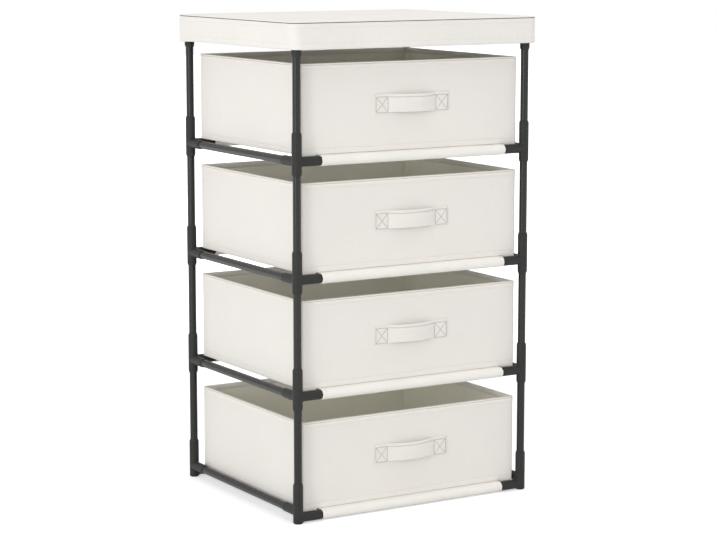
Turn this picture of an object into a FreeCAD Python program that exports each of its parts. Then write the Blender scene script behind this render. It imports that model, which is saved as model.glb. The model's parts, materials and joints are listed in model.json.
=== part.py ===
import FreeCAD, Part
import os

# Fabric drawer dresser. A rack of thin steel tubes pushed into plastic corner
# connectors carries four fabric slings. A box-shaped fabric basket stands on each
# sling and slides out to the front, and a fabric cover over a board closes the top.
#
# Millimetres. The origin is on the floor under the middle of the cover, +Z is up,
# the front faces -Y and +X is to the right of someone facing the front.

# ---- Driving dimensions ----

TOTAL_HEIGHT = 800.0
POST_SPACING_X = 434.0          # between post axes, left to right
POST_SPACING_Y = 366.0          # between post axes, front to back
STOREY_PITCH = 187.6            # from one sling's bars to the next sling's bars
FIRST_SLING_BAR_Z = 9.4         # axis of the lowest front and back bars
FIRST_SIDE_RAIL_Z = 19.2        # axis of the lowest side rails
SECOND_SLING_BAR_Z = 206.8      # axis of the next bars and rails up
SLING_COUNT = 4

TUBE_DIAMETER = 13.0
TUBE_WALL = 0.8
POST_TUBE_LENGTH = 160.0

SOCKET_DIAMETER = 16.2          # upright sockets
ARM_DIAMETER = 15.6             # level sockets
SOCKET_CLEARANCE = 0.1          # between a tube and the bore it is pushed into
SOCKET_LIP_LENGTH = 3.5         # tapered end of every socket
SOCKET_LIP_DIAMETER = 14.4
SOCKET_UP = 45.7                # from a bar's axis to the top of the socket above it
SOCKET_DOWN = 22.2              # from a bar's axis to the end of the socket below it
FOOT_SOCKET_TOP_Z = 65.6
TOP_SOCKET_LENGTH = 40.8        # from the top bars' axis down
TOP_SOCKET_RISE = 1.5           # the upright's end above the top arms, under the board
ARM_LENGTH = 42.0               # from the post's axis to the end of an arm
POST_DEPTH_IN_LOWER_SOCKET = 26.0
SOCKET_DOWN_BORE_DEPTH = 15.2
TOP_SOCKET_BORE_DEPTH = 17.0
ARM_BORE_DEPTH = 24.0
FRONT_ARM_FILLET = 3.0          # where the front or back arm joins the upright
SIDE_ARM_FILLET = 2.0
RIM_BEVEL_HEIGHT = 1.5          # bevelled rim of the foot's and the top's flat end
RIM_BEVEL_WIDTH = 1.2
END_ALLOWANCE = 12.0            # spare length that is cut off to leave that flat end
END_CUTTER_RADIUS = 14.0

SLEEVE_OUTER_RADIUS = 8.6       # the sling's sleeves around the front and back bars
SLEEVE_INNER_RADIUS = 7.4
SLING_THICKNESS = 1.2
SLING_END_GAP = 0.5             # between a sleeve and the arm beside it

BASKET_WIDTH = 412.8            # over the rim binding
BASKET_DEPTH = 344.8
BASKET_HEIGHT = 143.1
BASKET_SETBACK = 5.9            # from the front post axes back to the basket's rim
BASKET_FLOOR_ABOVE_BAR = 9.0    # from the bar's axis up to the basket's underside
BASKET_CORNER_RADIUS = 4.0
SHELL_THICKNESS = 1.0
WALL_BOARD_THICKNESS = 2.4
WALL_BOARD_CORNER_GAP = 3.0     # each wall board stops short of the corner seam
LINING_THICKNESS = 0.8
LINING_CORNER_RADIUS = 1.5
BASE_BOARD_THICKNESS = 3.0
BASE_BOARD_GAP = 1.6
BINDING_THICKNESS = 0.6
BINDING_HEIGHT = 9.0

HANDLE_LENGTH = 138.0
HANDLE_WIDTH = 31.0             # height of the strap
HANDLE_THICKNESS = 2.0
HANDLE_END_LENGTH = 24.0        # flat sewn end
HANDLE_BOW = 9.0                # clear depth behind the strap's middle
HANDLE_CENTRE_ABOVE_BAR = 85.0

COVER_OVERHANG = 16.0           # cover's face outside the post axes
COVER_CORNER_RADIUS = 16.0
COVER_SKIRT = 43.0
COVER_THICKNESS = 1.2
COVER_EDGE_RADIUS = 1.2
COVER_CLEARANCE = 0.3           # between the board and the cover lying on it
TOP_BOARD_THICKNESS = 3.0
TOP_BOARD_GAP = 0.5             # around the board's rim inside the skirt

# ---- Worked out from the driving dimensions ----

HALF_X = POST_SPACING_X / 2
HALF_Y = POST_SPACING_Y / 2
TUBE_RADIUS = TUBE_DIAMETER / 2
SOCKET_RADIUS = SOCKET_DIAMETER / 2
ARM_RADIUS = ARM_DIAMETER / 2
BORE_RADIUS = TUBE_RADIUS + SOCKET_CLEARANCE
TOP_BOARD_Z = TOTAL_HEIGHT - COVER_THICKNESS - COVER_CLEARANCE - TOP_BOARD_THICKNESS
TOP_BAR_Z = TOP_BOARD_Z - TOP_SOCKET_RISE - ARM_RADIUS

ORIGIN = FreeCAD.Vector(0, 0, 0)
X = FreeCAD.Vector(1, 0, 0)
Y = FreeCAD.Vector(0, 1, 0)
Z = FreeCAD.Vector(0, 0, 1)

CORNERS = {
    "front_left": (-1, -1),
    "front_right": (1, -1),
    "back_left": (-1, 1),
    "back_right": (1, 1),
}


def sling_bar_z(storey):
    """Height of the bars' axis at a storey, counted from 1 at the floor."""
    if storey == 1:
        return FIRST_SLING_BAR_Z
    return SECOND_SLING_BAR_Z + (storey - 2) * STOREY_PITCH


STOREYS = range(1, SLING_COUNT + 1)
MIDDLE_STOREYS = range(2, SLING_COUNT + 1)
BAR_HEIGHTS = [sling_bar_z(storey) for storey in STOREYS] + [TOP_BAR_Z]
RAIL_HEIGHTS = [FIRST_SIDE_RAIL_Z] + BAR_HEIGHTS[1:]


# ---- Small tools ----

def save(shape, node):
    """Write one node's solids to its own file."""
    if not shape.isValid():
        raise ValueError(node + " isn't a sound solid")
    shape.exportStep("parts/" + node + ".step")


def rod(start, direction, length, radius):
    return Part.makeCylinder(radius, length, start, direction)


def socket_outside(start, direction, length, radius):
    """Round socket wall, as a full rod with a tapered lip at its far end."""
    straight = length - SOCKET_LIP_LENGTH
    lip_start = start + direction * straight
    lip = Part.makeCone(radius, SOCKET_LIP_DIAMETER / 2, SOCKET_LIP_LENGTH, lip_start, direction)
    return rod(start, direction, straight, radius).fuse(lip).removeSplitter()


def bore(mouth, direction, depth):
    """Blind hole that goes in from the mouth, against the socket's direction."""
    return rod(mouth - direction * depth, direction, depth, BORE_RADIUS)


def tube(start, direction, length):
    outside = rod(start, direction, length, TUBE_RADIUS)
    return outside.cut(rod(start, direction, length, TUBE_RADIUS - TUBE_WALL))


def rounded_block(low, high, radius):
    """Upright block between two corners, with its four upright edges rounded."""
    size = high - low
    block = Part.makeBox(size.x, size.y, size.z, low)
    upright = [edge for edge in block.Edges if abs(edge.tangentAt(edge.FirstParameter).z) > 0.99]
    return block.makeFillet(radius, upright)


def grown(low, high, amount):
    """The plan corners of a block moved out by amount on every side."""
    step = FreeCAD.Vector(amount, amount, 0)
    return low - step, high + step


# ---- Connectors ----

# Each kind is made once, for the front left corner, on its own post's axis with
# one arm to the right along the front and one to the back along the side.
# The other corners hold mirror images of it.

def place_of(edge):
    """A key that tells one edge from another."""
    centre = edge.CenterOfMass
    return round(centre.x, 3), round(centre.y, 3), round(centre.z, 3)


def join_arm(shape, arm, fillet):
    """Join a round arm to the upright and round the inside corner between them."""
    known = {place_of(edge) for edge in shape.Edges}
    joined = shape.fuse(arm)
    straight_or_round = ("Part::GeomLine", "Part::GeomCircle")
    meeting = [
        edge for edge in joined.Edges
        if edge.Curve.TypeId not in straight_or_round and place_of(edge) not in known
    ]
    return joined.makeFillet(fillet, meeting)


def cut_flat(shape, end, outward):
    """Cut an upright off flat at its closed end and bevel the rim left there."""
    beyond = rod(end, outward, END_ALLOWANCE, END_CUTTER_RADIUS)
    sleeve = rod(end, -outward, RIM_BEVEL_HEIGHT, END_CUTTER_RADIUS)
    rim_radius = SOCKET_RADIUS - RIM_BEVEL_WIDTH
    core = Part.makeCone(rim_radius, SOCKET_RADIUS, RIM_BEVEL_HEIGHT, end, -outward)
    return shape.cut(beyond).cut(sleeve.cut(core))


def with_arms(upright, front_arm_z, side_arm_z):
    """Join the two level arms to an upright, then bore them out."""
    shape = upright
    arms = ((X, front_arm_z, FRONT_ARM_FILLET), (Y, side_arm_z, SIDE_ARM_FILLET))
    for direction, height, fillet in arms:
        arm = socket_outside(Z * height, direction, ARM_LENGTH, ARM_RADIUS)
        shape = join_arm(shape, arm, fillet)
    for direction, height, _ in arms:
        mouth = Z * height + direction * ARM_LENGTH
        shape = shape.cut(bore(mouth, direction, ARM_BORE_DEPTH))
    return shape


def foot_connector():
    length = END_ALLOWANCE + FOOT_SOCKET_TOP_Z
    upright = socket_outside(-Z * END_ALLOWANCE, Z, length, SOCKET_RADIUS)
    shape = with_arms(upright, FIRST_SLING_BAR_Z, FIRST_SIDE_RAIL_Z)
    shape = shape.cut(bore(Z * FOOT_SOCKET_TOP_Z, Z, POST_DEPTH_IN_LOWER_SOCKET))
    return cut_flat(shape, ORIGIN, -Z)


def middle_connector():
    """A middle connector, with its arms' axes at height 0."""
    up = socket_outside(Z * 0, Z, SOCKET_UP, SOCKET_RADIUS)
    down = socket_outside(Z * 0, -Z, SOCKET_DOWN, SOCKET_RADIUS)
    shape = with_arms(up.fuse(down).removeSplitter(), 0.0, 0.0)
    shape = shape.cut(bore(Z * SOCKET_UP, Z, POST_DEPTH_IN_LOWER_SOCKET))
    return shape.cut(bore(-Z * SOCKET_DOWN, -Z, SOCKET_DOWN_BORE_DEPTH))


def top_connector():
    """A top connector, with its arms' axes at height 0."""
    top = ARM_RADIUS + TOP_SOCKET_RISE
    start = Z * (top + END_ALLOWANCE)
    upright = socket_outside(start, -Z, start.z + TOP_SOCKET_LENGTH, SOCKET_RADIUS)
    shape = with_arms(upright, 0.0, 0.0)
    shape = shape.cut(bore(-Z * TOP_SOCKET_LENGTH, -Z, TOP_SOCKET_BORE_DEPTH))
    return cut_flat(shape, Z * top, Z)


def at_corner(shape, corner, height):
    """The connector, or its mirror image, moved to a corner of the rack."""
    side_x, side_y = CORNERS[corner]
    placed = shape.copy()
    if side_x > 0:
        placed = placed.mirror(ORIGIN, X)
    if side_y > 0:
        placed = placed.mirror(ORIGIN, Y)
    placed.translate(FreeCAD.Vector(side_x * HALF_X, side_y * HALF_Y, height))
    return placed


def build_connectors():
    foot = foot_connector()
    middle = middle_connector()
    top = top_connector()
    for corner in CORNERS:
        save(at_corner(foot, corner, 0.0), "foot_connector_" + corner)
        for storey in MIDDLE_STOREYS:
            name = "middle_connector_" + str(storey) + "_" + corner
            save(at_corner(middle, corner, sling_bar_z(storey)), name)
        save(at_corner(top, corner, TOP_BAR_Z), "top_connector_" + corner)


# ---- Tubes ----

def post_tube_starts():
    """Height of the lower end of each post tube, from the floor up."""
    socket_tops = [FOOT_SOCKET_TOP_Z]
    socket_tops += [sling_bar_z(storey) + SOCKET_UP for storey in MIDDLE_STOREYS]
    return [top - POST_DEPTH_IN_LOWER_SOCKET for top in socket_tops]


def build_post_tubes():
    for corner, (side_x, side_y) in CORNERS.items():
        tubes = []
        for height in post_tube_starts():
            start = FreeCAD.Vector(side_x * HALF_X, side_y * HALF_Y, height)
            tubes.append(tube(start, Z, POST_TUBE_LENGTH))
        save(Part.makeCompound(tubes), "post_tubes_" + corner)


def build_level_tubes():
    inset = ARM_LENGTH - ARM_BORE_DEPTH
    for side, name in ((-1, "side_rails_left"), (1, "side_rails_right")):
        starts = [FreeCAD.Vector(side * HALF_X, inset - HALF_Y, z) for z in RAIL_HEIGHTS]
        rails = [tube(start, Y, POST_SPACING_Y - 2 * inset) for start in starts]
        save(Part.makeCompound(rails), name)
    for side, name in ((-1, "cross_bars_front"), (1, "cross_bars_back")):
        starts = [FreeCAD.Vector(inset - HALF_X, side * HALF_Y, z) for z in BAR_HEIGHTS]
        bars = [tube(start, X, POST_SPACING_X - 2 * inset) for start in starts]
        save(Part.makeCompound(bars), name)


# ---- Slings ----

def sling(bar_z):
    """Fabric sheet stretched between two sewn sleeves around the front and back bars."""
    left = ARM_LENGTH + SLING_END_GAP - HALF_X
    length = -2 * left
    sheet_z = bar_z + SLEEVE_OUTER_RADIUS - SLING_THICKNESS
    shape = Part.makeBox(length, POST_SPACING_Y, SLING_THICKNESS, FreeCAD.Vector(left, -HALF_Y, sheet_z))
    starts = [FreeCAD.Vector(left, side * HALF_Y, bar_z) for side in (-1, 1)]
    for start in starts:
        shape = shape.fuse(rod(start, X, length, SLEEVE_OUTER_RADIUS))
    for start in starts:
        shape = shape.cut(rod(start, X, length, SLEEVE_INNER_RADIUS))
    return shape.removeSplitter()


def build_slings():
    for storey in STOREYS:
        save(sling(sling_bar_z(storey)), "sling_" + str(storey))


# ---- Baskets ----

def basket_shell(low, high):
    """Outer fabric box, open at the top, inside the rim binding's outline."""
    outer_low, outer_high = grown(low, high, -BINDING_THICKNESS)
    outer_high -= Z * BINDING_THICKNESS
    inner_low, inner_high = grown(outer_low, outer_high, -SHELL_THICKNESS)
    outside = rounded_block(outer_low, outer_high, BASKET_CORNER_RADIUS)
    inner_radius = BASKET_CORNER_RADIUS - SHELL_THICKNESS
    return outside.cut(rounded_block(inner_low + Z * SHELL_THICKNESS, inner_high, inner_radius))


def basket_wall_boards(low, high):
    """Four stiff boards, each in its own pocket between the shell and the lining."""
    low, high = grown(low, high, -BINDING_THICKNESS - SHELL_THICKNESS)
    bottom = low.z + SHELL_THICKNESS
    height = high.z - 2 * BINDING_THICKNESS - bottom
    width = high.x - low.x - 2 * WALL_BOARD_CORNER_GAP
    depth = high.y - low.y - 2 * WALL_BOARD_CORNER_GAP
    thickness = WALL_BOARD_THICKNESS
    boards = []
    for y in (low.y, high.y - thickness):
        corner = FreeCAD.Vector(low.x + WALL_BOARD_CORNER_GAP, y, bottom)
        boards.append(Part.makeBox(width, thickness, height, corner))
    for x in (low.x, high.x - thickness):
        corner = FreeCAD.Vector(x, low.y + WALL_BOARD_CORNER_GAP, bottom)
        boards.append(Part.makeBox(thickness, depth, height, corner))
    return Part.makeCompound(boards)


def lining_outline(low, high):
    """Plan corners of the lining's outer face."""
    return grown(low, high, -BINDING_THICKNESS - SHELL_THICKNESS - WALL_BOARD_THICKNESS)


def basket_lining(low, high):
    """Inner fabric box, standing on the shell's floor."""
    outer_low, outer_high = lining_outline(low, high)
    outer_low += Z * SHELL_THICKNESS
    outer_high -= Z * BINDING_THICKNESS
    inner_low, inner_high = grown(outer_low, outer_high, -LINING_THICKNESS)
    outside = rounded_block(outer_low, outer_high, LINING_CORNER_RADIUS)
    inner_radius = LINING_CORNER_RADIUS - LINING_THICKNESS
    return outside.cut(rounded_block(inner_low + Z * LINING_THICKNESS, inner_high, inner_radius))


def basket_base_board(low, high):
    """Loose board that keeps the basket's floor flat."""
    plan_low, plan_high = lining_outline(low, high)
    plan_low, plan_high = grown(plan_low, plan_high, -LINING_THICKNESS - BASE_BOARD_GAP)
    bottom = low.z + SHELL_THICKNESS + LINING_THICKNESS
    plan_low.z = bottom
    plan_high.z = bottom + BASE_BOARD_THICKNESS
    return rounded_block(plan_low, plan_high, BASKET_CORNER_RADIUS)


def basket_rim_binding(low, high):
    """Folded fabric tape over the top edge of the shell and the lining."""
    ring_low = FreeCAD.Vector(low.x, low.y, high.z - BINDING_HEIGHT)
    outside = rounded_block(ring_low, high, BASKET_CORNER_RADIUS + BINDING_THICKNESS)
    lining_low, lining_high = lining_outline(ring_low, high)
    hole_low, hole_high = grown(lining_low, lining_high, -LINING_THICKNESS - BINDING_THICKNESS)
    hole = rounded_block(hole_low, hole_high, LINING_CORNER_RADIUS - LINING_THICKNESS)
    shell_low, shell_high = grown(ring_low, high, -BINDING_THICKNESS)
    wall = rounded_block(shell_low, shell_high - Z * BINDING_THICKNESS, BASKET_CORNER_RADIUS)
    inner_low, inner_high = grown(lining_low, lining_high, -LINING_THICKNESS)
    inner_radius = LINING_CORNER_RADIUS - LINING_THICKNESS
    wall = wall.cut(rounded_block(inner_low, inner_high, inner_radius))
    return outside.cut(hole).cut(wall)


def basket_handle(low, bar_z):
    """Strap sewn flat at both ends and bowed out between them."""
    back = low.y + BINDING_THICKNESS
    half = HANDLE_LENGTH / 2
    bend = half - HANDLE_END_LENGTH
    bottom = bar_z + HANDLE_CENTRE_ABOVE_BAR - HANDLE_WIDTH / 2

    def face(offset):
        """The strap's line in plan, offset from the basket's front."""
        flat = back - offset
        start = FreeCAD.Vector(-half, flat, bottom)
        bend_start = FreeCAD.Vector(-bend, flat, bottom)
        middle = FreeCAD.Vector(0, flat - HANDLE_BOW, bottom)
        bend_end = FreeCAD.Vector(bend, flat, bottom)
        end = FreeCAD.Vector(half, flat, bottom)
        bow = Part.Arc(bend_start, middle, bend_end).toShape()
        return [Part.makeLine(start, bend_start), bow, Part.makeLine(bend_end, end)], start, end

    inner, inner_start, inner_end = face(0.0)
    outer, outer_start, outer_end = face(HANDLE_THICKNESS)
    closing = [Part.makeLine(inner_start, outer_start), Part.makeLine(inner_end, outer_end)]
    outline = Part.Wire(Part.__sortEdges__(inner + outer + closing))
    return Part.Face(outline).extrude(Z * HANDLE_WIDTH)


def build_baskets():
    for storey in STOREYS:
        bar_z = sling_bar_z(storey)
        front = BASKET_SETBACK - HALF_Y
        floor = bar_z + BASKET_FLOOR_ABOVE_BAR
        low = FreeCAD.Vector(-BASKET_WIDTH / 2, front, floor)
        high = FreeCAD.Vector(BASKET_WIDTH / 2, front + BASKET_DEPTH, floor + BASKET_HEIGHT)
        name = "basket_" + str(storey)
        save(basket_shell(low, high), name + "_shell")
        save(basket_wall_boards(low, high), name + "_wall_boards")
        save(basket_lining(low, high), name + "_lining")
        save(basket_base_board(low, high), name + "_base_board")
        save(basket_rim_binding(low, high), name + "_rim_binding")
        save(basket_handle(low, bar_z), name + "_handle")


# ---- Top ----

def build_top():
    half = FreeCAD.Vector(HALF_X + COVER_OVERHANG, HALF_Y + COVER_OVERHANG, 0)
    low = Z * (TOTAL_HEIGHT - COVER_SKIRT) - half
    high = Z * TOTAL_HEIGHT + half
    outside = rounded_block(low, high, COVER_CORNER_RADIUS)
    top_edges = [edge for edge in outside.Edges if edge.BoundBox.ZMin > TOTAL_HEIGHT - 0.01]
    outside = outside.makeFillet(COVER_EDGE_RADIUS, top_edges)
    inner_low, inner_high = grown(low, high, -COVER_THICKNESS)
    inner_radius = COVER_CORNER_RADIUS - COVER_THICKNESS
    inside = rounded_block(inner_low, inner_high - Z * COVER_THICKNESS, inner_radius)
    save(outside.cut(inside), "top_cover")

    board_low, board_high = grown(inner_low, inner_high, -TOP_BOARD_GAP)
    board_low.z = TOP_BOARD_Z
    board_high.z = TOP_BOARD_Z + TOP_BOARD_THICKNESS
    save(rounded_block(board_low, board_high, inner_radius - TOP_BOARD_GAP), "top_board")


os.makedirs("parts", exist_ok=True)
build_connectors()
build_post_tubes()
build_level_tubes()
build_slings()
build_baskets()
build_top()
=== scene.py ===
import json
import math

import bpy
import numpy as np
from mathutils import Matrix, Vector, noise


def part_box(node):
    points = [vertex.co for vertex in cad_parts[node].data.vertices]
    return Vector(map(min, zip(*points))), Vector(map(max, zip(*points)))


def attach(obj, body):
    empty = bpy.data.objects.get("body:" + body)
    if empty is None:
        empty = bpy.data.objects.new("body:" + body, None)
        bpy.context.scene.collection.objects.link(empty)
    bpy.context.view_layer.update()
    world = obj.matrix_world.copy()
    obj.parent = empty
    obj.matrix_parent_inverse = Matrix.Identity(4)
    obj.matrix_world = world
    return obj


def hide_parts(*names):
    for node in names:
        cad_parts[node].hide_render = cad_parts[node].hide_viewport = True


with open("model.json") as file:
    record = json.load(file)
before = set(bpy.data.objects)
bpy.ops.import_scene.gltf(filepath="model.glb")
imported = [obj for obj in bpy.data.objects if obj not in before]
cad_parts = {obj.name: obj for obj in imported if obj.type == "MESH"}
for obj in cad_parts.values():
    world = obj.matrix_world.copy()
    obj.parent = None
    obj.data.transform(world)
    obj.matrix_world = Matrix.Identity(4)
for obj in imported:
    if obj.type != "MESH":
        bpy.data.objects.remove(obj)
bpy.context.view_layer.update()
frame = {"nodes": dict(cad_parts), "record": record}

# The dresser's looks: painted tubes and moulded connectors from the frame, and its
# fabric pieces (cover, slings, baskets, strap handles) built here over the frame's
# soft solids. Lengths are millimetres until a mesh is made.

MM = 0.001
BASKETS = (1, 2, 3, 4)
FAR_IN = 6.5                    # a ring further inside its outline than this is scaled down instead

# ---- Dimensions ----

CLOTH = 1.0                     # thickness of the cover's and the slings' cloth
THREAD_RADIUS = 0.34
STITCH_LENGTH = 3.0
STITCH_PITCH = 4.4

SLEEVE_RADIUS = 8.0             # middle of the cloth around a bar
SLEEVE_OUTSIDE = SLEEVE_RADIUS + 0.6
SLEEVE_TURN = 215.0             # degrees of the sleeve that show a row of stitches
SLEEVE_TAIL = 30.0              # from a bar's axis to the end of the flap under the sheet
SLEEVE_SEAM = 19.0              # from a bar's axis to the seam that closes the sleeve
SLING_SAG = 1.2
SLING_SIDE_HEM = 6.0
SLING_EDGE_STEPS = (1, 2, 4, 5.5, 6.5, 8)

SHELL_THICKNESS = 1.0
SHELL_RADIUS = 4.0
SHELL_SIDE_STEP = 0.3           # the lowest ring lies this far above the bottom
LINING_THICKNESS = 0.8
LINING_INSET = 4.4              # from the basket's outside to the lining
LINING_RADIUS = 1.2
CORNER_SAG = 2.8                # how far the lower edge hangs at the two front corners
SAG_CLEAR = 2.4                 # from the sling's end to where the sag starts
SAG_BESIDE = 5.0                # the sag grows over this width beside the sling
SAG_DEPTH = 14.0                # the sag ends this far behind the front
SAG_FADE = 11.0
SAG_HEIGHT = 14.0               # and this far up the wall
CORNER_STITCH = 7.5             # from a basket's upright edge to the stitching beside it
BOTTOM_STITCH = 8.0             # height of the stitching along a basket's bottom edge
BINDING_STITCH = 7.0            # below the rim
ROLL_HEIGHT = 2.6               # rolled edge at the top of the binding
BINDING_HEIGHT = 9.0
BINDING_THICKNESS = 0.6
BINDING_INSIDE = -5.9           # the tape's inner face, from the basket's outside
RIM_THREAD_RADIUS = 0.42
RIM_STITCH_PITCH = 3.8

STRAP_THICKNESS = 2.0
STRAP_END = 24.0                # flat sewn end
STRAP_BOW = 9.0
STRAP_DROOP = 0.4
STRAP_THREAD_RADIUS = 0.5
STRAP_STITCH_PITCH = 3.6
BOX_INSET = 1.0                 # from the strap's end and lower edge to its sewn box
BOX_HEIGHT = 24.6

COVER_RADIUS = 16.0
COVER_HEM = 10.0
COVER_TOPSTITCH = 9.0           # below the cover's top edge
COVER_DROOP = 2.5               # how much lower the skirt hangs at its back left corner
COVER_ROUNDING = 1.4            # the skirt's lowest ring lies this far above its end
# Near-black cord laid in the crease where the cover's top meets its skirt: painted shade standing in for
# the seam's shadow line
SEAM_SHADOW_RADIUS = 0.85
SEAM_SHADOW_SIDES = 8
SEAM_SHADOW_INSET = -0.78
SEAM_SHADOW_DROP = 1.3

FLOOR_REACH = 12.0              # this and the next three are in metres
LAMP_AIM = Vector((0, 0, 0.4))
CAMERA_PLACE = (-1.9078, -3.1674, 0.9389)
CAMERA_CLIP_END = 60.0
CAMERA_LENS = 110.76            # millimetres on a sensor 36 mm wide
CAMERA_SENSOR = 36.0
CAMERA_PITCH = 8.749            # degrees below level
CAMERA_YAW = 31.135             # degrees to the right of straight ahead


# ---- Materials ----

class Graph:
    """A material's nodes, with short calls to add and join them."""

    def __init__(self, name):
        self.material = bpy.data.materials.new(name)
        self.material.use_nodes = True
        self.tree = self.material.node_tree
        self.shader = self.tree.nodes["Principled BSDF"]

    def add(self, kind, **settings):
        node = self.tree.nodes.new("ShaderNode" + kind)
        for key, value in settings.items():
            setattr(node, key, value)
        return node

    def join(self, source, target):
        self.tree.links.new(source, target)

    def math(self, operation, first, second=None):
        node = self.add("Math", operation=operation)
        for socket, value in zip(node.inputs, (first, second)):
            if isinstance(value, (int, float)):
                socket.default_value = value
            elif value is not None:
                self.join(value, socket)
        return node.outputs[0]

    def noise(self, vector, scale, stretch=(1, 1, 1), detail=2.0, roughness=0.5):
        mapping = self.add("Mapping")
        mapping.inputs["Scale"].default_value = stretch
        self.join(vector, mapping.inputs["Vector"])
        node = self.add("TexNoise")
        node.inputs["Scale"].default_value = scale
        node.inputs["Detail"].default_value = detail
        node.inputs["Roughness"].default_value = roughness
        self.join(mapping.outputs[0], node.inputs["Vector"])
        return node.outputs["Fac"]

    def ramp(self, value, low, high, start=0.3, end=0.7):
        """Colours from low to high as value goes from start to end."""
        node = self.add("ValToRGB")
        first, last = node.color_ramp.elements
        first.position, first.color = start, (*low, 1)
        last.position, last.color = end, (*high, 1)
        self.join(value, node.inputs["Fac"])
        return node.outputs["Color"]

    def bump(self, height, strength, distance):
        node = self.add("Bump")
        node.inputs["Strength"].default_value = strength
        node.inputs["Distance"].default_value = distance
        self.join(height, node.inputs["Height"])
        self.join(node.outputs[0], self.shader.inputs["Normal"])

    def plain(self, **values):
        """Values that are the same all over, set on the shader's own sockets."""
        for name, value in values.items():
            self.shader.inputs[name.replace("_", " ")].default_value = value


def scaled(colour, factor):
    return tuple(min(1.0, c * factor) for c in colour)


def fabric(name, colour, thread=0.9, slub=1.0, weave=0.5):
    """Plain woven cloth with slubs. thread is the distance between threads in mm."""
    g = Graph(name)
    uv = g.add("UVMap", uv_map="cloth").outputs[0]
    split = g.add("SeparateXYZ")
    g.join(uv, split.inputs[0])
    per_thread = math.pi / (thread * MM)
    across = g.math("ABSOLUTE", g.math("SINE", g.math("MULTIPLY", split.outputs[0], per_thread)))
    along = g.math("ABSOLUTE", g.math("SINE", g.math("MULTIPLY", split.outputs[1], per_thread)))
    over = g.add("TexChecker")
    over.inputs["Scale"].default_value = 1 / (thread * MM)
    over.inputs["Color1"].default_value = (0, 0, 0, 1)
    over.inputs["Color2"].default_value = (1, 1, 1, 1)
    g.join(uv, over.inputs["Vector"])
    woven = g.add("Mix", data_type="FLOAT")
    g.join(over.outputs["Fac"], woven.inputs[0])
    g.join(across, woven.inputs[2])
    g.join(along, woven.inputs[3])

    level_slubs = g.noise(uv, 1.0, (28, 700, 1), 3.0, 0.6)
    upright_slubs = g.noise(uv, 1.0, (700, 28, 1), 3.0, 0.6)
    clouds = g.noise(uv, 9.0, (1, 1, 1), 2.0, 0.5)
    slubs = g.math("ADD", level_slubs, upright_slubs)
    tone = g.math("ADD", g.math("MULTIPLY", slubs, 0.35), g.math("MULTIPLY", clouds, 0.3))
    tone = g.math("ADD", tone, g.math("MULTIPLY", woven.outputs[0], 0.06))
    low, high = scaled(colour, 1 - 0.05 * slub), scaled(colour, 1 + 0.035 * slub)
    g.join(g.ramp(tone, low, high, 0.36, 0.68), g.shader.inputs["Base Color"])

    height = g.math("ADD", g.math("MULTIPLY", woven.outputs[0], weave), slubs)
    g.bump(height, 0.5, 0.25 * MM)
    g.plain(Roughness=0.92, Sheen_Weight=0.12, Sheen_Roughness=0.5, Specular_IOR_Level=0.25)
    return g.material


def spunbond(name, colour):
    """Smooth bonded cloth with a fine grid of pressed dots."""
    g = Graph(name)
    uv = g.add("UVMap", uv_map="cloth").outputs[0]
    split = g.add("SeparateXYZ")
    g.join(uv, split.inputs[0])
    per_dot = 2 * math.pi / (1.6 * MM)
    level = g.math("COSINE", g.math("MULTIPLY", split.outputs[0], per_dot))
    upright = g.math("COSINE", g.math("MULTIPLY", split.outputs[1], per_dot))
    dots = g.math("MULTIPLY", level, upright)
    fibres = g.noise(uv, 420.0, (1, 1, 1), 4.0, 0.6)
    clouds = g.noise(uv, 14.0, (1, 1, 1), 3.0, 0.5)
    tone = g.math("ADD", g.math("MULTIPLY", fibres, 0.45), g.math("MULTIPLY", clouds, 0.55))
    g.join(g.ramp(tone, scaled(colour, 0.965), scaled(colour, 1.03)), g.shader.inputs["Base Color"])
    g.bump(g.math("ADD", g.math("MULTIPLY", dots, 0.3), fibres), 0.35, 0.2 * MM)
    g.plain(Roughness=0.85, Sheen_Weight=0.1, Sheen_Roughness=0.5, Specular_IOR_Level=0.3)
    return g.material


def thread(name, colour):
    """Twisted sewing thread."""
    g = Graph(name)
    place = g.add("TexCoord").outputs["Object"]
    twist = g.noise(place, 2600.0, (1, 1, 1), 2.0, 0.6)
    g.join(g.ramp(twist, scaled(colour, 0.85), scaled(colour, 1.1)), g.shader.inputs["Base Color"])
    g.bump(twist, 0.5, 0.1 * MM)
    g.plain(Roughness=0.8, Sheen_Weight=0.1)
    return g.material


def painted_steel(name, colour):
    """Satin powder coat with a faint orange peel."""
    g = Graph(name)
    place = g.add("TexCoord").outputs["Object"]
    peel = g.noise(place, 900.0, (1, 1, 1), 2.0, 0.5)
    speckle = g.noise(place, 5200.0, (1, 1, 1), 1.0, 0.5)
    tone = g.math("ADD", g.math("MULTIPLY", peel, 0.5), g.math("MULTIPLY", speckle, 0.5))
    g.join(g.ramp(tone, scaled(colour, 0.88), scaled(colour, 1.15)), g.shader.inputs["Base Color"])
    rough = g.math("ADD", 0.24, g.math("MULTIPLY", peel, 0.06))
    g.join(rough, g.shader.inputs["Roughness"])
    g.bump(g.math("ADD", peel, g.math("MULTIPLY", speckle, 0.3)), 0.18, 0.12 * MM)
    g.plain(Specular_IOR_Level=0.28)
    return g.material


def moulded_plastic(name, colour):
    """Matte moulding with a fine spark-eroded grain."""
    g = Graph(name)
    place = g.add("TexCoord").outputs["Object"]
    grain = g.noise(place, 2400.0, (1, 1, 1), 3.0, 0.6)
    flow = g.noise(place, 45.0, (1, 1, 1), 2.0, 0.5)
    tone = g.math("ADD", g.math("MULTIPLY", grain, 0.4), g.math("MULTIPLY", flow, 0.6))
    g.join(g.ramp(tone, scaled(colour, 0.85), scaled(colour, 1.15)), g.shader.inputs["Base Color"])
    rough = g.math("ADD", 0.4, g.math("MULTIPLY", flow, 0.14))
    g.join(rough, g.shader.inputs["Roughness"])
    g.bump(grain, 0.25, 0.1 * MM)
    g.plain(Specular_IOR_Level=0.15)
    return g.material


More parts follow.
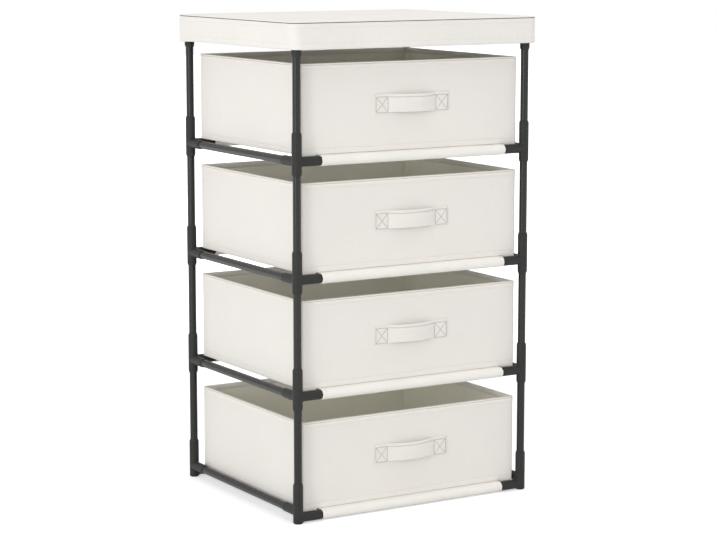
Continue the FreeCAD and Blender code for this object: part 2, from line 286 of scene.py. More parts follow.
def pressed_board(name, colour):
    """Pale pressed board with short fibres."""
    g = Graph(name)
    place = g.add("TexCoord").outputs["Object"]
    fibres = g.noise(place, 260.0, (1, 2.4, 1), 5.0, 0.7)
    flecks = g.noise(place, 900.0, (1, 1, 1), 2.0, 0.5)
    tone = g.math("ADD", g.math("MULTIPLY", fibres, 0.65), g.math("MULTIPLY", flecks, 0.35))
    g.join(g.ramp(tone, scaled(colour, 0.84), scaled(colour, 1.1)), g.shader.inputs["Base Color"])
    g.bump(tone, 0.3, 0.2 * MM)
    g.plain(Roughness=0.8)
    return g.material


MATERIALS = {
    "cover_fabric": fabric("cover_fabric", (0.838, 0.81, 0.768)),
    "basket_fabric": fabric("basket_fabric", (0.83, 0.797, 0.753), 0.9, 0.6),
    "binding_fabric": fabric("binding_fabric", (0.88, 0.852, 0.795), 0.7, 0.5),
    "handle_fabric": fabric("handle_fabric", (0.83, 0.797, 0.753), 0.7, 0.6),
    "lining_fabric": spunbond("lining_fabric", (0.955, 0.935, 0.825)),
    "base_board": spunbond("base_board", (0.92, 0.90, 0.80)),
    "sling_fabric": spunbond("sling_fabric", (0.86, 0.84, 0.79)),
    "stitching": thread("stitching", (0.76, 0.72, 0.67)),
    "strap_stitching": thread("strap_stitching", (0.44, 0.40, 0.36)),
    # near-black colour of the cord in the cover's seam crease: painted shade, not a thread's own colour
    "painted_seam_shadow": thread("painted_seam_shadow", (0.10, 0.085, 0.07)),
    "tube_steel": painted_steel("tube_steel", (0.019, 0.019, 0.018)),
    "connector_plastic": moulded_plastic("connector_plastic", (0.033, 0.033, 0.032)),
    "board": pressed_board("board", (0.74, 0.70, 0.63)),
}


# ---- Mesh tools ----

def finish_mesh(name, points, faces, material, body):
    """A smooth mesh from points in mm, with real-size cloth coordinates on each face."""
    mesh = bpy.data.meshes.new(name)
    mesh.from_pydata((np.asarray(points, float) * MM).tolist(), [], faces)
    mesh.validate()
    mesh.update()
    mesh.shade_smooth()
    layer = mesh.uv_layers.new(name="cloth")
    across = {0: (1, 2), 1: (0, 2), 2: (0, 1)}
    for face in mesh.polygons:
        steepest = max(range(3), key=lambda axis: abs(face.normal[axis]))
        u, v = across[steepest]
        for corner in face.loop_indices:
            co = mesh.vertices[mesh.loops[corner].vertex_index].co
            layer.data[corner].uv = (co[u], co[v])
    mesh.materials.append(MATERIALS[material])
    obj = bpy.data.objects.new(name, mesh)
    bpy.context.scene.collection.objects.link(obj)
    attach(obj, body)
    return obj


def grid_faces(rows, columns, wrap_rows=False, wrap_columns=False):
    """Quads of a grid of points that are numbered row by row."""
    faces = []
    for row in range(rows if wrap_rows else rows - 1):
        below, above = row * columns, (row + 1) % rows * columns
        for column in range(columns if wrap_columns else columns - 1):
            right = (column + 1) % columns
            faces.append((below + column, below + right, above + right, above + column))
    return faces


def solidify(obj, thickness, offset=0.0):
    modifier = obj.modifiers.new("thickness", "SOLIDIFY")
    modifier.thickness = thickness * MM
    modifier.offset = offset
    modifier.use_even_offset = True
    return obj


def wave(x, y, seed):
    """Smooth noise from about -1 to 1, the same every time."""
    return noise.noise(Vector((x, y, seed * 7.31)))


def dip(distance, width):
    """1 at a seam, falling to 0 within about two widths of it."""
    return math.exp(-(distance / width) ** 2)


def eased(share):
    """0 to 1 with a soft start and end."""
    share = min(1.0, max(0.0, share))
    return share * share * (3 - 2 * share)


class Outline:
    """Rounded rectangle seen from above, anticlockwise from the front's left end."""

    def __init__(self, half_x, half_y, radius, centre_y=0.0):
        self.half = (half_x, half_y)
        self.radius = radius
        self.centre = np.array((0.0, centre_y))
        self.arc = radius * math.pi / 2
        self.straight = [2 * (self.half[side % 2] - radius) for side in range(4)]
        self.length = sum(self.straight) + 4 * self.arc
        ends = np.cumsum([run + self.arc for run in self.straight])
        self.corners = [end - self.arc / 2 for end in ends]

    def at(self, along):
        """Point and outward direction in plan, at a length along the outline."""
        left = along % self.length
        for side in range(4):
            turn = side * math.pi / 2
            ahead = np.array((math.cos(turn), math.sin(turn)))
            outward = np.array((math.sin(turn), -math.cos(turn)))
            middle = self.centre + outward * self.half[(side + 1) % 2]
            run = self.straight[side]
            if left <= run:
                return middle + ahead * (left - run / 2), outward
            left -= run
            if left <= self.arc:
                angle = left / self.radius
                centre = middle + ahead * run / 2 - outward * self.radius
                outward = outward * math.cos(angle) + ahead * math.sin(angle)
                return centre + outward * self.radius, outward
            left -= self.arc
        return self.at(0.0)

    def from_corner(self, along):
        """Distance along the outline to the nearest corner's middle."""
        gaps = [abs((along - corner + self.length / 2) % self.length - self.length / 2)
                for corner in self.corners]
        return min(gaps)

    def on_side(self, along):
        """True on the left and right sides, and False on the front and back."""
        _, outward = self.at(along)
        return abs(outward[0]) > 0.9

    def samples(self, fine=0.8, reach=12.0, coarse=9.0):
        """Lengths along the outline, close together near the corners."""
        places = []
        for number, corner in enumerate(self.corners):
            following = self.corners[(number + 1) % 4] + (self.length if number == 3 else 0)
            places += list(np.arange(corner - reach, corner + reach, fine))
            count = max(2, round((following - corner - 2 * reach) / coarse))
            places += list(np.linspace(corner + reach, following - reach, count, endpoint=False))
        return sorted({round(place % self.length, 4) for place in places})


def ring(outline, places, offset, height):
    """Ring of points; offset and height are numbers or functions of the length along."""
    points = []
    for place in places:
        out = offset(place) if callable(offset) else offset
        z = height(place) if callable(height) else height
        point, outward = outline.at(place)
        if out < -FAR_IN:
            shrink = 1 + out / np.array(outline.half)
            points.append((*(outline.centre + (point - outline.centre) * shrink), z))
        else:
            points.append((*(point + outward * out), z))
    return points


class Stitches:
    """Collects short thread stitches that lie on a surface, as one mesh."""

    SIDES = 6
    SAMPLES = 160                   # points that measure a row before it is divided

    def __init__(self, radius=THREAD_RADIUS):
        self.points, self.faces = [], []
        self.radius = radius
        half = STITCH_LENGTH / 2
        self.profile = [(-half, 0.45), (-half * 0.8, 0.85), (0.0, 1.0), (half * 0.8, 0.85), (half, 0.45)]

    def add(self, middle, ahead, outward, length=STITCH_LENGTH):
        radius = self.radius
        ahead = np.asarray(ahead, float) / np.linalg.norm(ahead)
        outward = np.asarray(outward, float) / np.linalg.norm(outward)
        sideways = np.cross(ahead, outward)
        first = len(self.points)
        for along, swell in self.profile:
            bow = radius * 0.7 * (1 - (2 * along / STITCH_LENGTH) ** 2)
            centre = middle + ahead * along * length / STITCH_LENGTH + outward * (bow - radius * 0.35)
            for side in range(self.SIDES):
                angle = 2 * math.pi * side / self.SIDES
                spoke = outward * math.cos(angle) + sideways * math.sin(angle)
                self.points.append(centre + spoke * radius * swell)
        for row in range(len(self.profile) - 1):
            low = first + row * self.SIDES
            for side in range(self.SIDES):
                right = (side + 1) % self.SIDES
                self.faces.append((low + side, low + right, low + self.SIDES + right,
                                   low + self.SIDES + side))
        last = first + (len(self.profile) - 1) * self.SIDES
        self.faces.append(tuple(first + side for side in reversed(range(self.SIDES))))
        self.faces.append(tuple(last + side for side in range(self.SIDES)))

    def row(self, surface, start, end, pitch=STITCH_PITCH):
        """Stitches from start to end, where surface(t) gives a point and an outward direction."""
        places = np.linspace(start, end, self.SAMPLES)
        samples = [surface(place) for place in places]
        line = np.array([point for point, _ in samples])
        along = np.concatenate(([0.0], np.cumsum(np.linalg.norm(np.diff(line, axis=0), axis=1))))
        count = max(1, round(along[-1] / pitch))
        step = along[-1] / count
        for number in range(count):
            middle = np.interp((number + 0.5) * step, along, places)
            point, outward = surface(middle)
            ahead_point, _ = surface(middle + (end - start) * 0.001)
            self.add(np.asarray(point, float), np.asarray(ahead_point) - point, outward,
                     STITCH_LENGTH * step / pitch)

    def build(self, name, body, material="stitching"):
        return finish_mesh(name, self.points, self.faces, material, body)


# ---- Frame pieces that keep their shape ----

def dress_frame_parts():
    """Give every rigid node of the frame its material."""
    slots = {row["node"]: row["material_slot"] for row in frame["record"]["subparts"]}
    for node, obj in frame["nodes"].items():
        obj.data.materials.clear()
        obj.data.materials.append(MATERIALS[slots[node]])


# ---- Slings ----

def sling_profile(front_y, back_y, bar_z):
    """Middle line of a sling's cloth from under the front seam, round both bars."""
    start_angle, end_angle = math.radians(-52), math.radians(90)
    under = bar_z + SLEEVE_RADIUS - 1.15 * CLOTH
    flap = [(front_y + SLEEVE_TAIL - 3.0 * step, under) for step in range(4)]
    neck = [(front_y + SLEEVE_SEAM - 1.0, under - 0.5), (front_y + SLEEVE_SEAM - 5.0, under - 2.6)]
    wrap = []
    for step in range(30):
        angle = start_angle - (2 * math.pi + start_angle - end_angle) * step / 29
        wrap.append((front_y + SLEEVE_RADIUS * math.cos(angle),
                     bar_z + SLEEVE_RADIUS * math.sin(angle)))
    front = flap + neck + wrap
    back = [(front_y + back_y - y, z) for y, z in reversed(front)]
    sheet = []
    for y in np.linspace(front_y, back_y, 42)[1:-1]:
        share = (y - front_y) / (back_y - front_y)
        sheet.append((y, bar_z + SLEEVE_RADIUS - SLING_SAG * math.sin(math.pi * share)))
    return front + sheet + back


def build_sling(number):
    node = f"sling_{number}"
    low, high = (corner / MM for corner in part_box(node))
    front_y, back_y = low.y + SLEEVE_OUTSIDE, high.y - SLEEVE_OUTSIDE
    bar_z = high.z - SLEEVE_OUTSIDE
    profile = sling_profile(front_y, back_y, bar_z)
    edge_steps = np.array(SLING_EDGE_STEPS)
    stations = sorted({*np.linspace(low.x, high.x, 60).round(3),
                       *(low.x + edge_steps).round(3), *(high.x - edge_steps).round(3)})
    points = []
    for x in stations:
        side = min(x - low.x, high.x - x)
        hem = 0.25 * (1 - dip(side, 3.0)) if side < SLING_SIDE_HEM else 0.0
        for index, (y, z) in enumerate(profile):
            edge = 0.9 * wave(index * 0.55, x * 0.01, number) if side < 0.5 else 0.0
            inner = abs(y - (front_y + back_y) / 2) < (back_y - front_y) / 2 - SLEEVE_RADIUS
            soft = 0.16 * wave(x / 22, y / 90, number) + 0.12 * wave(x / 9, y / 14, number + 5)
            near = front_y if y < 0 else back_y
            spoke = np.array((y - near, z - bar_z))
            if inner:
                y_out, z_out = 0.0, soft
            else:
                y_out, z_out = spoke / max(np.linalg.norm(spoke), 1.0) * (soft * 1.4 + hem * 0.5)
            points.append((x + edge * (1 if x < 0 else -1), y + y_out, z + min(z_out, 0.12)))
    faces = grid_faces(len(stations), len(profile))
    obj = finish_mesh(node + "_cloth", points, faces, "sling_fabric", "rack")
    solidify(obj, CLOTH)
    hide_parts(node)

    stitches = Stitches()
    top = bar_z + SLEEVE_RADIUS + CLOTH / 2 - SLING_SAG * 0.15
    up = np.array((0.0, 0.0, 1.0))
    for y in (front_y + SLEEVE_SEAM, back_y - SLEEVE_SEAM):
        stitches.row(lambda x, y=y: (np.array((x, y, top - 0.1)), up), low.x + 3, high.x - 3)
    for x in (low.x + SLING_SIDE_HEM, high.x - SLING_SIDE_HEM):
        for near, turn in ((front_y, 1), (back_y, -1)):
            def around(angle, x=x, near=near, turn=turn):
                outward = np.array((0.0, -turn * math.sin(angle), math.cos(angle)))
                outside = SLEEVE_RADIUS + CLOTH / 2 + 0.12
                return np.array((x, near, bar_z)) + outward * outside, outward
            stitches.row(around, 0.05, math.radians(SLEEVE_TURN))

        def level(y, x=x):
            share = (y - front_y) / (back_y - front_y)
            z = bar_z + SLEEVE_RADIUS + CLOTH / 2 - SLING_SAG * math.sin(math.pi * share)
            return np.array((x, y, z)), up
        stitches.row(level, front_y + 3, back_y - 3)
    sewn = stitches.build(node + "_stitching", "rack")


# ---- Baskets ----

def basket_corners(number):
    """Lowest and highest corner of a basket, rim binding included."""
    rim_low, rim_high = (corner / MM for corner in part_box(f"basket_{number}_rim_binding"))
    shell_low, _ = (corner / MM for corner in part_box(f"basket_{number}_shell"))
    return Vector((rim_low.x, rim_low.y, shell_low.z)), rim_high


def outline_inside(low, high, inset, radius):
    half_x, half_y = (high.x - low.x) / 2 - inset, (high.y - low.y) / 2 - inset
    return Outline(half_x, half_y, radius, (low.y + high.y) / 2)


def shell_relief(outline, place, height, seed):
    """How far the shell's cloth stands out of its outline, height above the basket's bottom."""
    corner = outline.from_corner(place)
    flat = 1 - dip(corner, 14.0)
    relief = 0.3 * dip(corner, 2.4)
    if outline.on_side(place):
        relief -= 0.5 * dip(corner - CORNER_STITCH, 1.1)
    relief -= 0.45 * dip(height - BOTTOM_STITCH, 1.0)
    relief += flat * (0.30 * wave(place / 75, height / 60, seed) - 0.12)
    return min(relief, 0.42)


def corner_sag(outline, place, height, sling_end):
    """How far the lower edge hangs down at the front corners, which no sling carries."""
    point, _ = outline.at(place)
    front = outline.centre[1] - outline.half[1]
    beside = eased((abs(point[0]) - sling_end) / SAG_BESIDE)
    ahead = eased((front + SAG_DEPTH - point[1]) / SAG_FADE)
    return CORNER_SAG * beside * ahead * max(0.0, 1 - height / SAG_HEIGHT)


def build_shell(number, low, high, stitches):
    outline = outline_inside(low, high, BINDING_THICKNESS, SHELL_RADIUS)
    sling_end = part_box(f"sling_{number}")[1].x / MM + SAG_CLEAR
    beside_sling = np.arange(14.0, 33.0, 1.5)
    extra = [*((outline.corners[3] + beside_sling) % outline.length),
             *(outline.corners[0] - beside_sling)]
    places = [place for place in outline.samples()
              if min(abs(place - other) for other in extra) > 1.0]
    places = sorted(places + extra)
    bottom, top = low.z, high.z - BINDING_THICKNESS
    heights = [0.0, 0.2, 0.6, 2.0, 4.0, 5.6, 6.6, 7.4, 8.0, 8.6, 9.4, 10.4]
    heights += list(np.linspace(14, top - bottom - 12, 20))
    heights += [top - bottom - value for value in (9.5, 6.0, 3.0, 0.4)]
    rings = [ring(outline, places, -34.0, bottom + 0.5), ring(outline, places, -8.0, bottom + 0.5)]
    rings.append(ring(outline, places, -3.2,
                      lambda place: bottom + 0.35 - 0.9 * corner_sag(outline, place, 0.0, sling_end)))
    for height in heights:
        rounding = 0.3 * (1 - math.sqrt(max(0.0, 1 - max(0.0, 1 - height / 0.6) ** 2)))
        rings.append(ring(
            outline, places,
            lambda place: shell_relief(outline, place, height, number) - rounding - SHELL_THICKNESS / 2,
            lambda place: (bottom + SHELL_SIDE_STEP + height * (1 - SHELL_SIDE_STEP / (top - bottom))
                           - corner_sag(outline, place, height, sling_end))))
    points = [point for row in rings for point in row]
    faces = grid_faces(len(rings), len(places), wrap_columns=True)
    faces.append(tuple(reversed(range(len(places)))))
    obj = finish_mesh(f"basket_{number}_outer_fabric", points, faces, "basket_fabric", f"basket_{number}")
    solidify(obj, SHELL_THICKNESS)
    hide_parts(f"basket_{number}_shell")

    def on_wall(place, height):
        point, outward = outline.at(place)
        relief = shell_relief(outline, place, height, number)
        where = point + outward * relief
        z = bottom + 0.5 + height - corner_sag(outline, place, height, sling_end)
        return np.array((*where, z)), np.array((*outward, 0.0))

    for corner, side in zip(outline.corners, (1, -1, 1, -1)):
        stitches.row(lambda height: on_wall(corner + side * CORNER_STITCH, height),
                     BOTTOM_STITCH + 2, top - bottom - BINDING_HEIGHT)
    stitches.row(lambda place: on_wall(place, BOTTOM_STITCH), 0.0, outline.length)


def build_binding(number, low, high, stitches):
    """Folded tape over the rim, with a rolled edge along its top."""
    body = f"basket_{number}"
    outline = outline_inside(low, high, 0.0, SHELL_RADIUS + BINDING_THICKNESS)
    places = outline.samples()
    inner = BINDING_INSIDE
    top = high.z
    profile = [
        (-0.65, -BINDING_HEIGHT), (0.0, -BINDING_HEIGHT + 0.25), (0.06, -BINDING_HEIGHT + 1.2),
        (-0.16, -BINDING_STITCH - 0.5), (-0.2, -BINDING_STITCH), (-0.16, -BINDING_STITCH + 0.5),
        (0.02, -5.2), (-0.02, -4.3), (-0.35, -ROLL_HEIGHT - 0.9), (-0.95, -ROLL_HEIGHT - 0.35),
        (-1.0, -ROLL_HEIGHT + 0.1), (-0.25, -ROLL_HEIGHT + 0.55), (0.0, -1.5), (-0.05, -0.9),
        (-0.4, -0.35), (-1.2, 0.0),
        (-3.0, 0.05), (inner + 1.2, 0.0), (inner + 0.3, -0.5), (inner, -1.4), (inner, -5.0),
        (inner + 0.05, -BINDING_HEIGHT + 0.3), (inner + 0.65, -BINDING_HEIGHT),
        (inner + 0.65, -2.0), (inner + 1.4, -1.0), (-2.4, -1.0), (-1.6, -2.0), (-1.6, -3.4),
        (-0.7, -4.4), (-0.65, -6.0),
    ]
    rings = []
    for out, down in profile:
        seed = number + 20 if out > -3 else number + 30

        def offset(place, out=out, seed=seed):
            corner = outline.from_corner(place)
            ripple = 0.12 * wave(place / 16, 0.3, seed) * (1 - dip(corner, 10.0))
            return out + ripple + 0.15 * dip(corner, 3.0) * (out > -1)
        rings.append(ring(outline, places, offset,
                          lambda place, down=down: top + down + 0.15 * wave(place / 40, 2.1, number)))
    points = [point for row in rings for point in row]
    faces = grid_faces(len(rings), len(places), wrap_rows=True, wrap_columns=True)
    obj = finish_mesh(f"basket_{number}_binding", points, faces, "binding_fabric", body)
    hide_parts(f"basket_{number}_rim_binding")

    def on_tape(place, out, side, down=BINDING_STITCH):
        point, outward = outline.at(place)
        z = top - down + 0.15 * wave(place / 40, 2.1, number)
        return np.array((*(point + outward * out), z)), np.array((*(outward * side), 0.0))
    stitches.row(lambda place: on_tape(place, -0.15, 1), 0.0, outline.length)
    stitches.row(lambda place: on_tape(place, inner, -1), 0.0, outline.length)
    sewn = Stitches(RIM_THREAD_RADIUS)
    sewn.row(lambda place: on_tape(place, -0.75, 1, ROLL_HEIGHT + 0.25), 0.0, outline.length,
             RIM_STITCH_PITCH)
    sewn.build(body + "_rim_stitching", body, "strap_stitching")


def build_lining(number, low, high):
    """Inner cloth of a basket, puckered a little along its seams."""
    outline = outline_inside(low, high, LINING_INSET, LINING_RADIUS)
    places = outline.samples(0.9, 9.0, 11.0)
    floor = low.z + 1.4
    heights = [0.0, 1.0, 2.5, 4.5, 7.0, 10.0] + list(np.linspace(14, high.z - floor - 1.4, 24))
    rings = [ring(outline, places, -40.0, floor), ring(outline, places, -9.0, floor),
             ring(outline, places, -1.2, floor + 0.1)]
    for height in heights:
        def offset(place, height=height):
            corner = outline.from_corner(place)
            soft = 0.42 * wave(place / 46, height / 38, number + 40)
            soft += 0.16 * wave(place / 11, height / 60, number + 41) * dip(height, 26.0)
            puckers = -0.5 * dip(corner - 5.0, 1.6) * (0.6 + 0.4 * wave(height / 7, corner, number))
            return min(0.0, (soft - 0.42) * (1 - dip(corner, 7.0)) + puckers * 0.6)
        rings.append(ring(outline, places, offset, floor + 0.4 + height))
    points = [point for row in rings for point in row]
    faces = grid_faces(len(rings), len(places), wrap_columns=True)
    faces.append(tuple(reversed(range(len(places)))))
    obj = finish_mesh(f"basket_{number}_inner_fabric", points, faces, "lining_fabric", f"basket_{number}")
    solidify(obj, LINING_THICKNESS)
    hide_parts(f"basket_{number}_lining")


def build_base_board(number):
    """Loose board wrapped in cloth that lies on the basket's floor."""
    node = f"basket_{number}_base_board"
    low, high = (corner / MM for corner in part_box(node))
    outline = outline_inside(low, high, 0.0, SHELL_RADIUS)
    places = outline.samples(1.0, 8.0, 12.0)
    profile = [(-30.0, 0.0), (-8.0, 0.0), (-1.2, 0.0), (-0.35, 0.35), (0.0, 1.2), (0.0, 1.8),
               (-0.35, 2.65), (-1.2, 3.0), (-4.0, 3.02), (-12.0, 3.0), (-30.0, 3.0),
               (-60.0, 3.0), (-100.0, 3.0), (-150.0, 3.0)]
    rings = []
    for out, up in profile:
        def height(place, up=up, out=out):
            soft = 0.15 * wave(place / 30, out / 30, number + 50) if up > 2.9 else 0.0
            return low.z + up + soft
        rings.append(ring(outline, places, lambda place, out=out: max(out, -150.0), height))
    points = [point for row in rings for point in row]
    faces = grid_faces(len(rings), len(places), wrap_columns=True)
    faces.append(tuple(reversed(range(len(places)))))
    faces.append(tuple((len(rings) - 1) * len(places) + column for column in range(len(places))))
    obj = finish_mesh(f"basket_{number}_floor", points, faces, "base_board", f"basket_{number}")
    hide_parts(node)


def strap_bow(x, bend):
    """How far the strap's middle line stands off the basket's front."""
    share = min(1.0, abs(x) / bend)
    return STRAP_BOW * (1 - share ** 2)


def box_lines(side, half, width):
    """The sewn box and its cross at one end of the strap, as lines from point to point."""
    near = side * (half - STRAP_END + 0.6)
    far = side * (half - BOX_INSET)
    down = BOX_INSET - width
    up = down + BOX_HEIGHT
    corners = [(near, down), (far, down), (far, up), (near, up)]
    lines = [(corners[k], corners[(k + 1) % 4]) for k in range(4)]
    return lines + [(corners[0], corners[2]), (corners[1], corners[3])]


def line_distance(x, z, line):
    start, end = np.array(line[0]), np.array(line[1])
    run = end - start
    share = np.clip(np.dot((x, z) - start, run) / np.dot(run, run), 0, 1)
    return np.linalg.norm((x, z) - start - run * share)


def build_handle(number):
    """Strap of folded cloth with a seam along it, sewn down at both ends."""
    node = f"basket_{number}_handle"
    low, high = (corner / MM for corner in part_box(node))
    back, middle_z = high.y, (low.z + high.z) / 2
    half, width = (high.x - low.x) / 2, (high.z - low.z) / 2
    seams = box_lines(-1, half, width) + box_lines(1, half, width)
    bend = half - STRAP_END
    seam_z = BOX_INSET - width + BOX_HEIGHT
    stations = [*np.arange(-half, -bend, 1.0), *np.linspace(-bend, bend, 61),
                *np.arange(bend + 1, half + 0.1, 1.0)]
    face = [(-1.0, 0.5), *[(share, 1.0) for share in np.linspace(-0.97, 0.97, 41)], (1.0, 0.5)]
    rear = [(share, 0.0) for share in np.linspace(0.97, -0.97, 9)]

    def loose(x):
        """0 where the strap is sewn down, rising to 1 along its bow."""
        return 1 - dip(max(0.0, bend - abs(x)), 9.0) if abs(x) < bend else 0.0

    def middle_line(x, z):
        """Depth and height of a point of the strap's rear face, and its outward lean."""
        free = loose(x)
        cup = free * 0.9 * (z / width) ** 2
        tilt = free * 0.5 * wave(number * 3.7, 0.2, 3) * z / width
        sway = free * 0.7 * wave(x / 60, number * 1.3, 9)
        droop = STRAP_DROOP * max(0.0, 1 - (x / bend) ** 2)
        height = middle_z + z * (1 - 0.05 * free) + sway - droop
        return back - strap_bow(x, bend) + cup + tilt, height

    points = []
    for x in stations:
        for share, level in face + rear:
            z = share * width
            thick = STRAP_THICKNESS * (0.88 + 0.12 * dip(abs(z) - width + 1.4, 1.6))
            if level == 1.0:
                nearest = min(line_distance(x, z, seam) for seam in seams) if abs(x) > bend - 3 else 9.0
                nearest = min(nearest, abs(z - seam_z))
                thick += 0.1 * loose(x) * math.cos(2 * math.pi * z / 5.4) - 0.5 * dip(nearest, 0.9)
            y, height = middle_line(x, z)
            points.append((x, y - level * thick, height))
    columns = len(face) + len(rear)
    faces = grid_faces(len(stations), columns, wrap_columns=True)
    faces.append(tuple(reversed(range(columns))))
    faces.append(tuple((len(stations) - 1) * columns + column for column in range(columns)))
    obj = finish_mesh(f"basket_{number}_strap", points, faces, "handle_fabric", f"basket_{number}")
    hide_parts(node)

    forward = np.array((0.0, -1.0, 0.0))
    sewn = Stitches(STRAP_THREAD_RADIUS)

    def on_strap(x, z):
        y, height = middle_line(x, z)
        return np.array((x, y - STRAP_THICKNESS * 0.88 + 0.36, height)), forward
    for start, end in seams:
        start, end = np.array(start), np.array(end)
        sewn.row(lambda share: on_strap(*(start + (end - start) * share)), 0.02, 0.98,
                 STRAP_STITCH_PITCH)
    sewn.row(lambda x: on_strap(x, seam_z), -bend + 1, bend - 1, STRAP_STITCH_PITCH)
    sewn.build(f"basket_{number}_strap_stitching", f"basket_{number}", "strap_stitching")


def build_basket(number):
    low, high = basket_corners(number)
    stitches = Stitches()
    build_shell(number, low, high, stitches)
    build_binding(number, low, high, stitches)
    build_lining(number, low, high)
    build_base_board(number)
    build_handle(number)
    stitches.build(f"basket_{number}_stitching", f"basket_{number}")


# ---- Cover ----

def cover_relief(outline, place, down):
    """How far the skirt stands out of its outline, down below the cover's top."""
    corner = outline.from_corner(place)
    fall = min(1.0, down / 40.0)
    folds = 0.8 * wave(place / 70, 0.4, 61) + 0.35 * wave(place / 24, down / 60, 62)
    stretch = 1 - 0.7 * dip(corner, 24.0)
    relief = folds * fall * stretch
    relief -= 0.22 * dip(down - COVER_TOPSTITCH, 1.1)
    return relief


def build_cover():
    low, high = (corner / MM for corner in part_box("top_cover"))
    outline = outline_inside(low, high, 0.0, COVER_RADIUS)
    places = outline.samples(2.0, 26.0, 8.0)
    top = high.z - CLOTH / 2
    skirt = high.z - low.z
    bottom = skirt - COVER_ROUNDING
    back_left = outline.corners[2]

    def hang(place, down):
        gap = abs((place - back_left + outline.length / 2) % outline.length - outline.length / 2)
        lower = COVER_DROOP * dip(gap, 70.0) + 0.5 * wave(place / 50, 1.7, 63)
        return top - down - lower * max(0.0, down / skirt)

    rings = []
    for inset in (190, 170, 140, 110, 80, 55, 35, 20, 12, 7, 4):
        rings.append(ring(outline, places, -float(inset),
                          lambda place: top - 0.25 + 0.25 * wave(place / 60, inset / 60, 64)))
    for out, down in ((-2.2, -0.1), (-1.1, 0.15), (-0.75, 0.7), (-1.35, 1.3), (-1.25, 1.9), (-0.6, 2.8)):
        rings.append(ring(outline, places, out, lambda place: hang(place, down)))
    downs = [4.0, 6.0, 7.5, 8.4, 9.0, 9.6, 10.5, 12.0] + list(np.linspace(15, bottom, 12))
    for down in downs:
        rings.append(ring(outline, places,
                          lambda place: cover_relief(outline, place, down) - CLOTH / 2,
                          lambda place: hang(place, down)))
    for out, up in ((0.35, -0.5), (0.75, -0.5), (1.15, 0.2), (1.2, 2.0), (1.2, 5.0), (1.2, COVER_HEM)):
        rings.append(ring(outline, places,
                          lambda place: cover_relief(outline, place, bottom) - CLOTH / 2 - out,
                          lambda place: hang(place, bottom) + up))
    points = [point for row in rings for point in row]
    faces = grid_faces(len(rings), len(places), wrap_columns=True)
    faces = [tuple(reversed(face)) for face in faces]
    faces.append(tuple(range(len(places))))
    obj = finish_mesh("top_cover_cloth", points, faces, "cover_fabric", "cover")
    solidify(obj, CLOTH)
    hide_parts("top_cover")

    stitches = Stitches()

    def on_skirt(place, down):
        point, outward = outline.at(place)
        where = point + outward * cover_relief(outline, place, down)
        return np.array((*where, hang(place, down))), np.array((*outward, 0.0))
    for down in (COVER_TOPSTITCH, skirt - COVER_HEM):
        stitches.row(lambda place: on_skirt(place, down), 0.0, outline.length)
    sewn = stitches.build("top_cover_stitching", "cover")

    # Near-black cord round the crease under the top edge, over the fold in the rings above: painted shade
    # for the seam's shadow line
    rings = []
    for step in range(SEAM_SHADOW_SIDES):
        angle = 2 * math.pi * step / SEAM_SHADOW_SIDES
        out, down = SEAM_SHADOW_RADIUS * math.cos(angle), SEAM_SHADOW_RADIUS * math.sin(angle)
        rings.append(ring(outline, places, SEAM_SHADOW_INSET + out,
                          lambda place: hang(place, SEAM_SHADOW_DROP + down)))
    points = [point for row in rings for point in row]
    faces = grid_faces(SEAM_SHADOW_SIDES, len(places), wrap_rows=True, wrap_columns=True)
    seam = finish_mesh("top_cover_painted_seam_shadow", points, faces, "painted_seam_shadow", "cover")


# ---- Stage ----

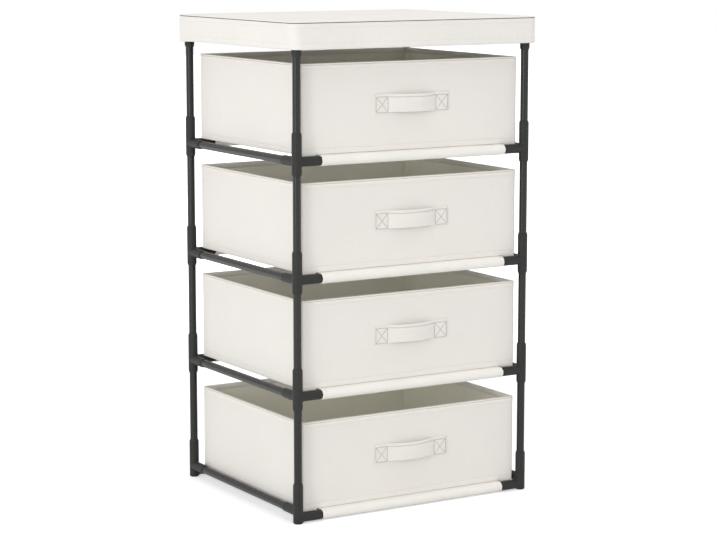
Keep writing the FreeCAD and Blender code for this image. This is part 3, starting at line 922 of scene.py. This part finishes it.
def build_stage():
    """Pale floor, white surroundings, soft lamps and the camera."""
    g = Graph("floor")
    path = g.add("LightPath")
    seen = g.math("MAXIMUM", path.outputs["Is Camera Ray"], path.outputs["Is Glossy Ray"])
    seen = g.math("MAXIMUM", seen, path.outputs["Is Transmission Ray"])
    g.plain(Base_Color=(0.75, 0.75, 0.75, 1), Roughness=0.9, Emission_Color=(1, 1, 1, 1))
    place = g.add("TexCoord").outputs["Object"]
    away = g.add("VectorMath", operation="LENGTH")
    g.join(place, away.inputs[0])
    spread = g.add("MapRange", interpolation_type="SMOOTHSTEP")
    for name, value in (("From Min", 0.5), ("From Max", 2.2), ("To Min", 0.5), ("To Max", 1.0)):
        spread.inputs[name].default_value = value
    g.join(away.outputs["Value"], spread.inputs["Value"])
    g.join(g.math("MULTIPLY", seen, spread.outputs["Result"]), g.shader.inputs["Emission Strength"])
    mesh = bpy.data.meshes.new("floor")
    signs = ((-1, -1), (1, -1), (1, 1), (-1, 1))
    mesh.from_pydata([(x * FLOOR_REACH, y * FLOOR_REACH, 0) for x, y in signs], [], [(0, 1, 2, 3)])
    mesh.materials.append(g.material)
    floor = bpy.data.objects.new("floor", mesh)
    bpy.context.scene.collection.objects.link(floor)

    world = bpy.data.worlds.new("studio")
    bpy.context.scene.world = world
    world.use_nodes = True
    nodes, links = world.node_tree.nodes, world.node_tree.links
    background = nodes["Background"]
    background.inputs["Color"].default_value = (1, 1, 1, 1)
    path = nodes.new("ShaderNodeLightPath")
    seen = path.outputs["Is Camera Ray"]
    for ray in ("Is Glossy Ray", "Is Transmission Ray"):
        either = nodes.new("ShaderNodeMath")
        either.operation = "MAXIMUM"
        links.new(seen, either.inputs[0])
        links.new(path.outputs[ray], either.inputs[1])
        seen = either.outputs[0]
    direction = nodes.new("ShaderNodeTexCoord")
    split = nodes.new("ShaderNodeSeparateXYZ")
    links.new(direction.outputs["Generated"], split.inputs[0])
    walls = nodes.new("ShaderNodeMapRange")     # bright studio walls, dimmer ceiling
    walls.interpolation_type = "SMOOTHSTEP"
    for name, value in (("From Min", 0.25), ("From Max", 0.6), ("To Min", 1.28), ("To Max", 0.6)):
        walls.inputs[name].default_value = value
    links.new(split.outputs["Z"], walls.inputs["Value"])
    strength = nodes.new("ShaderNodeMapRange")
    links.new(walls.outputs["Result"], strength.inputs["To Min"])
    strength.inputs["To Max"].default_value = 1.0
    links.new(seen, strength.inputs["Value"])
    links.new(strength.outputs["Result"], background.inputs["Strength"])

    lamps = (                           # name, place, width and height, power in watts
        ("key", (-3.4, -1.6, 1.0), (0.65, 1.9), 34.0),
        ("fill", (0.4, -3.8, 1.4), (2.4, 2.4), 3.0),
        ("top", (0.0, -0.6, 4.0), (2.6, 2.6), 34.5),
    )
    for name, place, (width, height), power in lamps:
        lamp = bpy.data.lights.new(name, "AREA")
        lamp.shape = "RECTANGLE"
        lamp.size, lamp.size_y = width, height
        lamp.energy = power
        obj = bpy.data.objects.new(name, lamp)
        obj.location = place
        aim = LAMP_AIM - obj.location
        obj.rotation_euler = aim.to_track_quat("-Z", "Y").to_euler()
        bpy.context.scene.collection.objects.link(obj)

    camera = bpy.data.cameras.new("camera")
    camera.lens = CAMERA_LENS
    camera.sensor_width = CAMERA_SENSOR
    camera.clip_end = CAMERA_CLIP_END
    obj = bpy.data.objects.new("camera", camera)
    obj.location = CAMERA_PLACE
    obj.rotation_euler = (math.radians(90 - CAMERA_PITCH), 0, math.radians(-CAMERA_YAW))
    bpy.context.scene.collection.objects.link(obj)
    bpy.context.scene.camera = obj
    bpy.context.scene.view_settings.view_transform = "Standard"


dress_frame_parts()
for basket in BASKETS:
    build_sling(basket)
    build_basket(basket)
build_cover()
build_stage()
